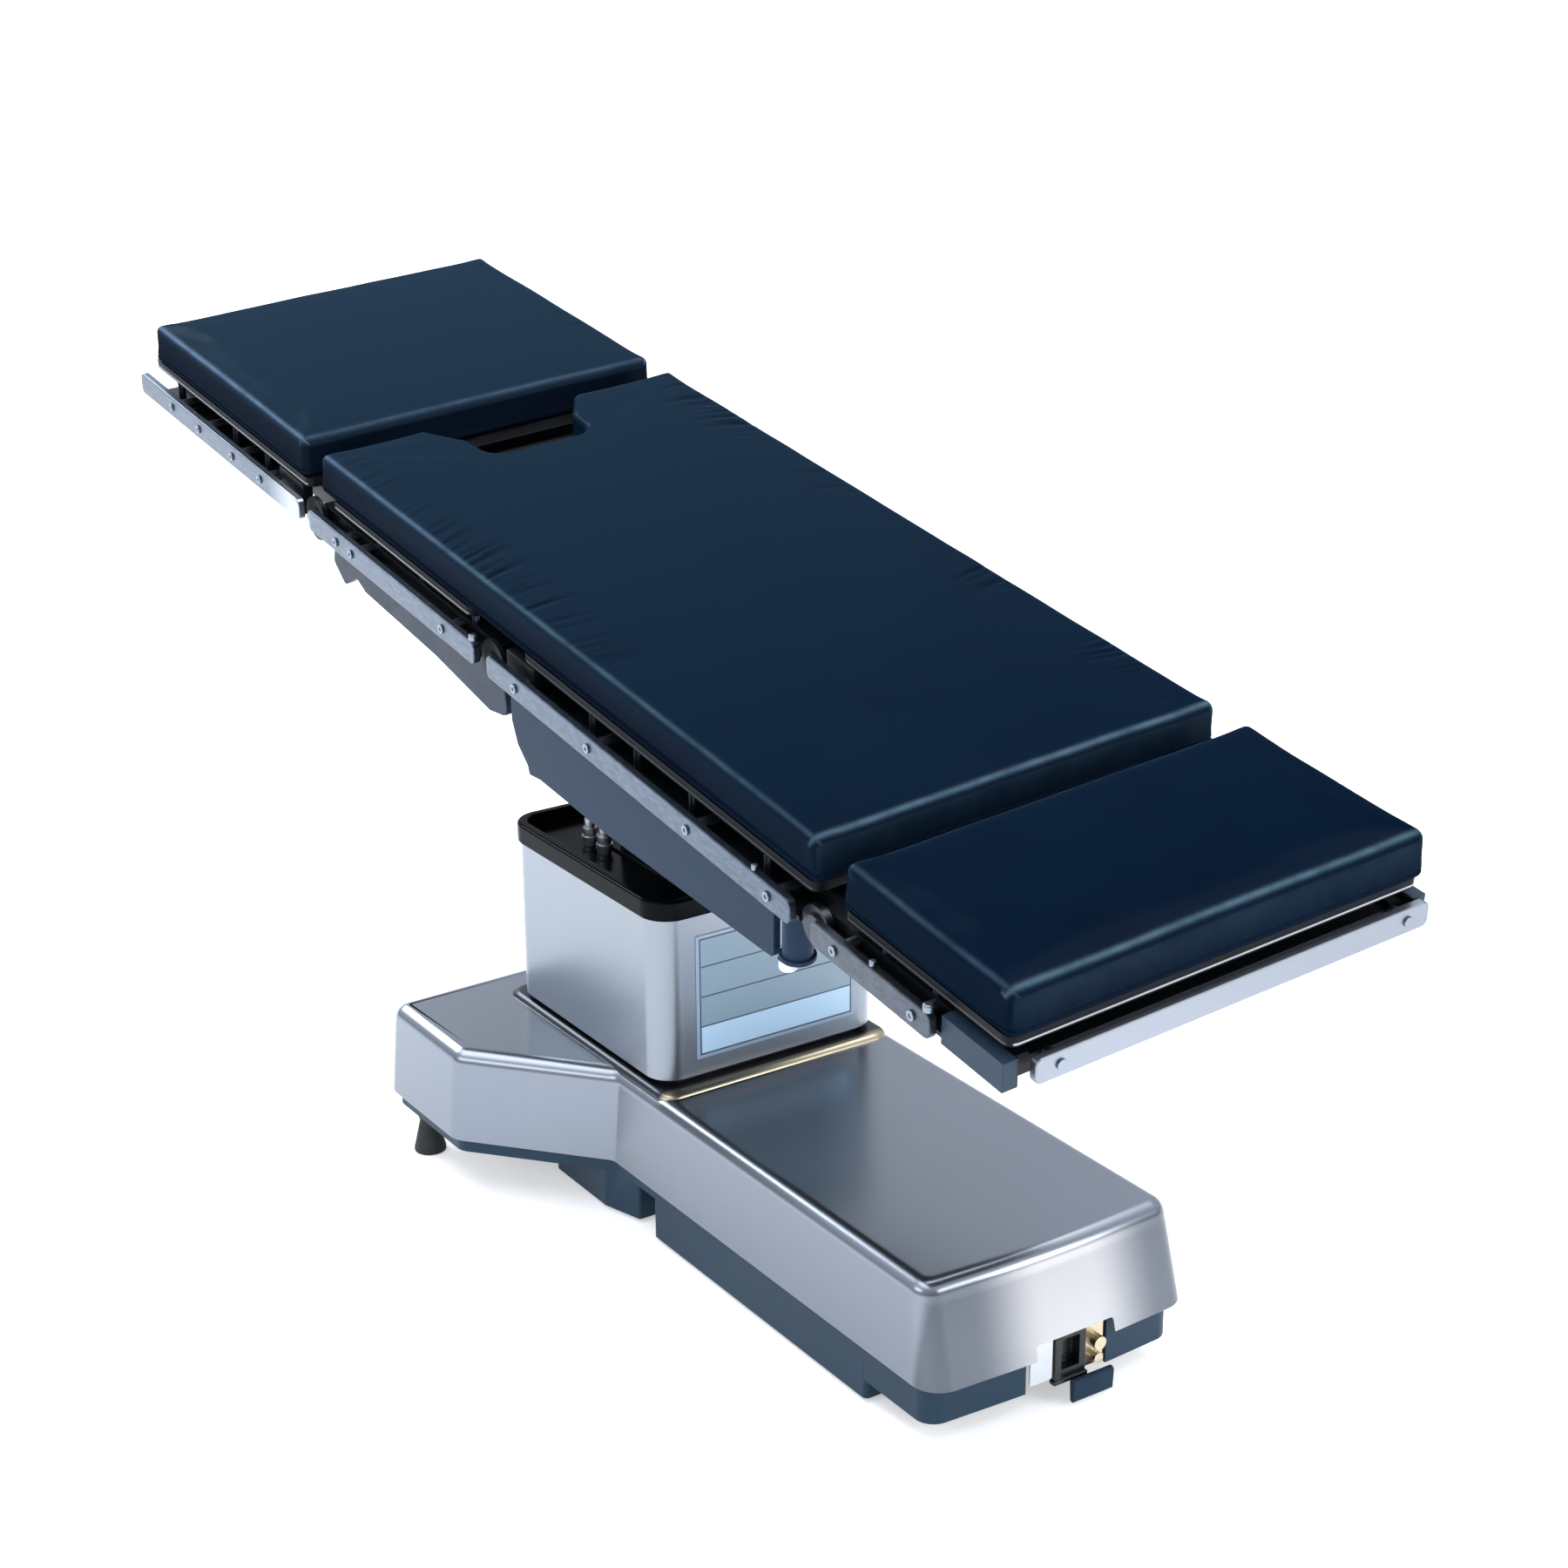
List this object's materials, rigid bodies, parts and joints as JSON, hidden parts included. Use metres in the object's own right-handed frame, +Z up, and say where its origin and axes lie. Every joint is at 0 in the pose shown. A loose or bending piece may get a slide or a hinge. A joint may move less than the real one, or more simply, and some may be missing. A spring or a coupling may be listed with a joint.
{
  "type": "operating table",
  "caption": "Mobile operating table with a lifting column, tilting four-section top, navy cushions, side rails and a perineal cut-out.",
  "frame": {"origin": "floor level, under the middle of the table's length and width, in the pose shown: top tilted head down and sideways", "axes": "+Z up, +X towards the head end of the top and the narrow end of the base, +Y towards the raised side"},
  "size_m": [1.9314, 0.6162, 0.9751],
  "materials": {
    "stainless": "brushed stainless steel sheet with a fine grain",
    "rail_steel": "brushed stainless flat bar, eased edges",
    "dark_frame": "satin black powder coat",
    "slate_plastic": "slate grey moulded plastic, satin",
    "skirt_plastic": "dark slate moulded plastic",
    "black_plastic": "semi-gloss black moulding",
    "black_rubber": "black rubber",
    "chrome": "polished chrome",
    "steel": "ground steel",
    "cast_iron": "painted casting",
    "brass": "nickel-plated brass terminal",
    "board": "dark radiolucent laminate board",
    "cushion": "navy coated cushion cover, soft sheen",
    "plate_face": "bare anodised plate",
    "motor_paint": "grey enamel"
  },
  "bodies": {
    "base": {"base_chassis": "cast_iron", "base_skirt": "skirt_plastic", "base_cover": "stainless", "column_gasket": "black_rubber", "base_feet": "black_rubber", "foot_spindles": "steel", "power_inlet": "black_plastic", "ground_terminal": "brass", "pump_motor": "motor_paint", "oil_reservoir": "motor_paint", "battery_pack": "black_plastic", "control_box": "dark_frame", "shroud_inner": "stainless", "mast_lower": "steel", "lift_cylinder_barrel": "motor_paint", "fixed_caster_forks": "steel"},
    "inlet_flap": {"inlet_flap": "slate_plastic"},
    "caster_left": {"caster_fork_left": "steel"},
    "caster_right": {"caster_fork_right": "steel"},
    "wheel_left": {"caster_wheel_left": "black_rubber"},
    "wheel_right": {"caster_wheel_right": "black_rubber"},
    "wheel_near_left": {"caster_wheel_near_left": "black_rubber"},
    "wheel_near_right": {"caster_wheel_near_right": "black_rubber"},
    "shroud_middle": {"shroud_middle": "stainless"},
    "mast_middle": {"mast_middle": "steel", "lift_stage_tube": "chrome"},
    "column_top": {"shroud_outer": "stainless", "cap_bezel": "black_plastic", "column_head": "dark_frame", "mast_upper": "steel", "lift_ram": "chrome", "hydraulic_fittings": "chrome", "data_plate": "plate_face"},
    "tilt_cross": {"tilt_cross": "dark_frame", "trunnion_pins": "steel"},
    "seat": {"seat_saddle": "dark_frame", "seat_frame": "dark_frame", "hinge_pins": "steel", "seat_side_plates": "dark_frame", "seat_side_rails": "rail_steel", "seat_fasteners": "chrome", "seat_board": "board", "seat_pad": "cushion"},
    "leg": {"leg_frame": "dark_frame", "leg_side_rails": "rail_steel", "leg_fasteners": "chrome", "leg_board": "board", "leg_pad": "cushion"},
    "back": {"back_frame": "dark_frame", "back_side_covers": "slate_plastic", "back_side_rails": "rail_steel", "back_fasteners": "chrome", "back_board": "board", "back_pad": "cushion", "head_lock_knuckles": "slate_plastic"},
    "head": {"head_frame": "dark_frame", "head_rails": "rail_steel", "head_fasteners": "chrome", "head_board": "board", "head_pad": "cushion"}
  },
  "joints": [
    {"name": "column_lift", "type": "slide", "parent": "base", "child": "column_top", "axis": [0, 0, 1], "range_m": [0, 0.33]},
    {"name": "mast_middle_slide", "type": "slide", "parent": "base", "child": "mast_middle", "axis": [0, 0, 1], "range_m": [0, 0.165]},
    {"name": "shroud_middle_slide", "type": "slide", "parent": "base", "child": "shroud_middle", "axis": [0, 0, 1], "range_m": [0, 0.165]},
    {"name": "trendelenburg", "type": "hinge", "parent": "column_top", "child": "tilt_cross", "pos_m": [0.00599, 0, 0.6294], "axis": [0, 1, 0], "range_deg": [-33.75, 16.25]},
    {"name": "lateral_tilt", "type": "hinge", "parent": "tilt_cross", "child": "seat", "pos_m": [0.00599, 0, 0.6294], "axis": [0.9884, 0, -0.1521], "range_deg": [-23.15, 12.85]},
    {"name": "back_hinge", "type": "hinge", "parent": "seat", "child": "back", "pos_m": [0.00054, -0.00736, 0.71289], "axis": [-0.0136, -0.996, -0.0887], "range_deg": [-15, 60]},
    {"name": "leg_hinge", "type": "hinge", "parent": "seat", "child": "leg", "pos_m": [-0.45481, -0.00736, 0.78294], "axis": [-0.0136, -0.996, -0.0887], "range_deg": [0, 105]},
    {"name": "head_hinge", "type": "hinge", "parent": "back", "child": "head", "pos_m": [0.64446, -0.00736, 0.61382], "axis": [-0.0136, -0.996, -0.0887], "range_deg": [-90, 20]},
    {"name": "caster_swivel_left", "type": "hinge", "parent": "base", "child": "caster_left", "pos_m": [0.02799, -0.092, 0.09], "axis": [0, 0, 1], "continuous": true},
    {"name": "caster_swivel_right", "type": "hinge", "parent": "base", "child": "caster_right", "pos_m": [0.02799, 0.092, 0.09], "axis": [0, 0, 1], "continuous": true},
    {"name": "caster_roll_left", "type": "hinge", "parent": "caster_left", "child": "wheel_left", "pos_m": [0.00399, -0.092, 0.0405], "axis": [0, 1, 0], "continuous": true},
    {"name": "caster_roll_right", "type": "hinge", "parent": "caster_right", "child": "wheel_right", "pos_m": [0.00399, 0.092, 0.0405], "axis": [0, 1, 0], "continuous": true},
    {"name": "caster_roll_near_left", "type": "hinge", "parent": "base", "child": "wheel_near_left", "pos_m": [0.52599, -0.1, 0.0405], "axis": [0, 1, 0], "continuous": true},
    {"name": "caster_roll_near_right", "type": "hinge", "parent": "base", "child": "wheel_near_right", "pos_m": [0.52599, 0.1, 0.0405], "axis": [0, 1, 0], "continuous": true},
    {"name": "inlet_flap_hinge", "type": "hinge", "parent": "base", "child": "inlet_flap", "pos_m": [0.72699, 0.039, 0.028], "axis": [0, -1, 0], "range_deg": [0, 110]}
  ],
  "couplings": [
    {"joint": "mast_middle_slide", "follows": "column_lift", "ratio": 0.5},
    {"joint": "shroud_middle_slide", "follows": "column_lift", "ratio": 0.5}
  ]
}
